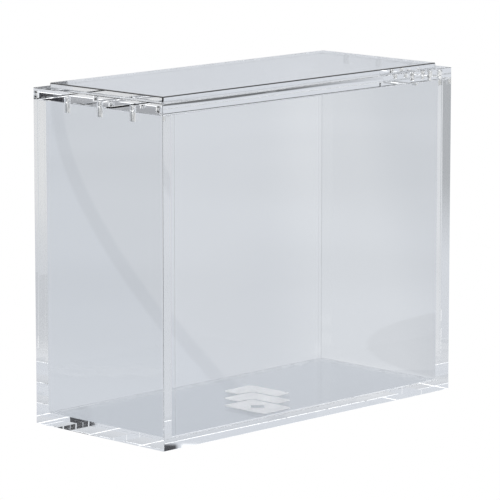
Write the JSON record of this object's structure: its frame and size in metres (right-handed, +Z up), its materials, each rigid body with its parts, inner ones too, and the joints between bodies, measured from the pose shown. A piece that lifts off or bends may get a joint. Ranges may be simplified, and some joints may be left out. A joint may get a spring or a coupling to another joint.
{
  "type": "clear display case for a boxed card set",
  "caption": "Clear upright display case for a boxed set of cards: a bonded tray of polished sheet with a loose flat lid that small magnets hold.",
  "frame": {"origin": "middle of the base plate's underside", "axes": "+X along the long side, +Y towards the back, +Z up, the way the lid lifts off"},
  "size_m": [0.216, 0.095, 0.1785],
  "materials": {
    "clear_sheet": "clear cast acrylic sheet, polished faces and edges",
    "nickel_plate": "bright nickel plating on neodymium disc magnets",
    "white_ink": "opaque white screen-printed ink, matt"
  },
  "bodies": {
    "tray": {"base_plate": "clear_sheet", "left_wall": "clear_sheet", "right_wall": "clear_sheet", "front_wall": "clear_sheet", "back_wall": "clear_sheet", "printed_mark": "white_ink", "wall_magnet_left_front": "nickel_plate", "wall_magnet_left_middle": "nickel_plate", "wall_magnet_left_back": "nickel_plate", "wall_magnet_right_front": "nickel_plate", "wall_magnet_right_middle": "nickel_plate", "wall_magnet_right_back": "nickel_plate"},
    "lid": {"lid_plate": "clear_sheet", "lid_raised_panel": "clear_sheet", "lid_magnet_left_front": "nickel_plate", "lid_magnet_left_middle": "nickel_plate", "lid_magnet_left_back": "nickel_plate", "lid_magnet_right_front": "nickel_plate", "lid_magnet_right_middle": "nickel_plate", "lid_magnet_right_back": "nickel_plate"}
  },
  "joints": [
    {"name": "lid_lift", "type": "slide", "parent": "tray", "child": "lid", "axis": [0, 0, 1], "range_m": [0, 0.2]}
  ]
}
